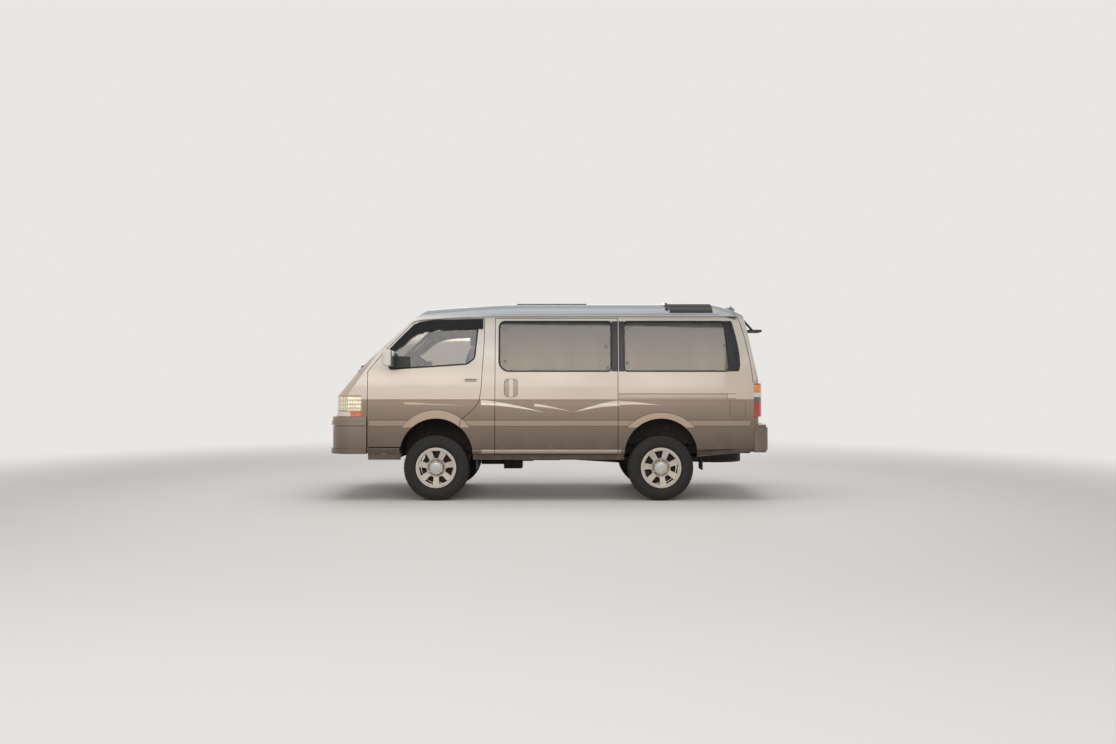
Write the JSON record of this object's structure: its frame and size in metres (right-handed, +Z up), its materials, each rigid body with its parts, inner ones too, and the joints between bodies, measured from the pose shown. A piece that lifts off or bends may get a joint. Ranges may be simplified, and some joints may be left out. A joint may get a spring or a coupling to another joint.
{
  "type": "camper van",
  "caption": "Cab-over camper van on a ladder frame, with opening front doors and tailgate, a fixed sliding door, steered front wheels and a hollow cab and load space.",
  "frame": {"origin": "on the ground under the middle of the van's box, between the wheels", "axes": "+X forward, +Y to the van's left, +Z up"},
  "size_m": [4.6898, 2.12, 2.0937],
  "materials": {
    "body_paint": "silver metallic paint with a warm cast",
    "lower_paint": "bronze-brown metallic paint",
    "bumper_plastic": "grey-brown moulded plastic",
    "glass": "clear vehicle glass",
    "dark_glass": "dark tinted glass",
    "lamp_plastic": "clear and coloured lamp covers",
    "black_plastic": "black moulded plastic",
    "trim_plastic": "dark grained cabin plastic",
    "fabric": "woven seat and blind fabric",
    "tyre": "black rubber",
    "wheel_alloy": "silver painted alloy",
    "cast_iron": "rough casting",
    "underbody": "black underbody paint with surface rust"
  },
  "bodies": {
    "root": {"chassis_frame": "underbody", "dashboard": "trim_plastic", "drive_train": "underbody", "engine": "cast_iron", "exhaust": "underbody", "floor_pan": "underbody", "front_bumper": "lower_paint", "front_indicators": "lamp_plastic", "front_steps": "lower_paint", "fuel_tank": "underbody", "grille": "black_plastic", "headlamps": "lamp_plastic", "mudflaps": "black_plastic", "nose_panel": "body_paint", "rear_axle": "underbody", "rear_bumper": "bumper_plastic", "rear_valance": "body_paint", "roof_panel": "body_paint", "roof_windows": "dark_glass", "seats": "fabric", "side_glass": "glass", "side_panel_left": "body_paint", "side_panel_right": "body_paint", "sliding_door": "body_paint", "sliding_door_glass": "glass", "spare_wheel": "tyre", "steering_wheel": "trim_plastic", "tail_lamps": "lamp_plastic", "window_shades": "fabric", "windscreen": "glass"},
    "steer_left": {"front_knuckle_left": "underbody"},
    "steer_right": {"front_knuckle_right": "underbody"},
    "wheel_front_left": {"tyre_front_left": "tyre", "rim_front_left": "wheel_alloy"},
    "wheel_front_right": {"tyre_front_right": "tyre", "rim_front_right": "wheel_alloy"},
    "wheel_rear_left": {"tyre_rear_left": "tyre", "rim_rear_left": "wheel_alloy"},
    "wheel_rear_right": {"tyre_rear_right": "tyre", "rim_rear_right": "wheel_alloy"},
    "door_left": {"front_door_left": "body_paint", "door_glass_left": "glass", "door_mirror_left": "black_plastic"},
    "door_right": {"front_door_right": "body_paint", "door_glass_right": "glass", "door_mirror_right": "black_plastic"},
    "tailgate": {"tailgate": "body_paint", "tailgate_glass": "glass", "rear_view_mirror": "black_plastic"}
  },
  "joints": [
    {"name": "steer_left", "type": "hinge", "parent": "root", "child": "steer_left", "pos_m": [1.165, 0.65, 0.34], "axis": [0, 0, 1], "range_deg": [-33, 33]},
    {"name": "steer_right", "type": "hinge", "parent": "root", "child": "steer_right", "pos_m": [1.165, -0.65, 0.34], "axis": [0, 0, 1], "range_deg": [-33, 33]},
    {"name": "spin_front_left", "type": "hinge", "parent": "steer_left", "child": "wheel_front_left", "pos_m": [1.165, 0.72, 0.34], "axis": [0, 1, 0], "continuous": true},
    {"name": "spin_front_right", "type": "hinge", "parent": "steer_right", "child": "wheel_front_right", "pos_m": [1.165, -0.72, 0.34], "axis": [0, 1, 0], "continuous": true},
    {"name": "spin_rear_left", "type": "hinge", "parent": "root", "child": "wheel_rear_left", "pos_m": [-1.165, 0.72, 0.34], "axis": [0, 1, 0], "continuous": true},
    {"name": "spin_rear_right", "type": "hinge", "parent": "root", "child": "wheel_rear_right", "pos_m": [-1.165, -0.72, 0.34], "axis": [0, 1, 0], "continuous": true},
    {"name": "door_left", "type": "hinge", "parent": "root", "child": "door_left", "pos_m": [1.868, 0.829, 0.95], "axis": [0, 0, -1], "range_deg": [0, 65]},
    {"name": "door_right", "type": "hinge", "parent": "root", "child": "door_right", "pos_m": [1.868, -0.829, 0.95], "axis": [0, 0, 1], "range_deg": [0, 65]},
    {"name": "tailgate", "type": "hinge", "parent": "root", "child": "tailgate", "pos_m": [-1.957, 0, 2.034], "axis": [0, 1, 0], "range_deg": [0, 80]}
  ],
  "couplings": [
    {"joint": "steer_right", "follows": "steer_left", "ratio": 1}
  ]
}
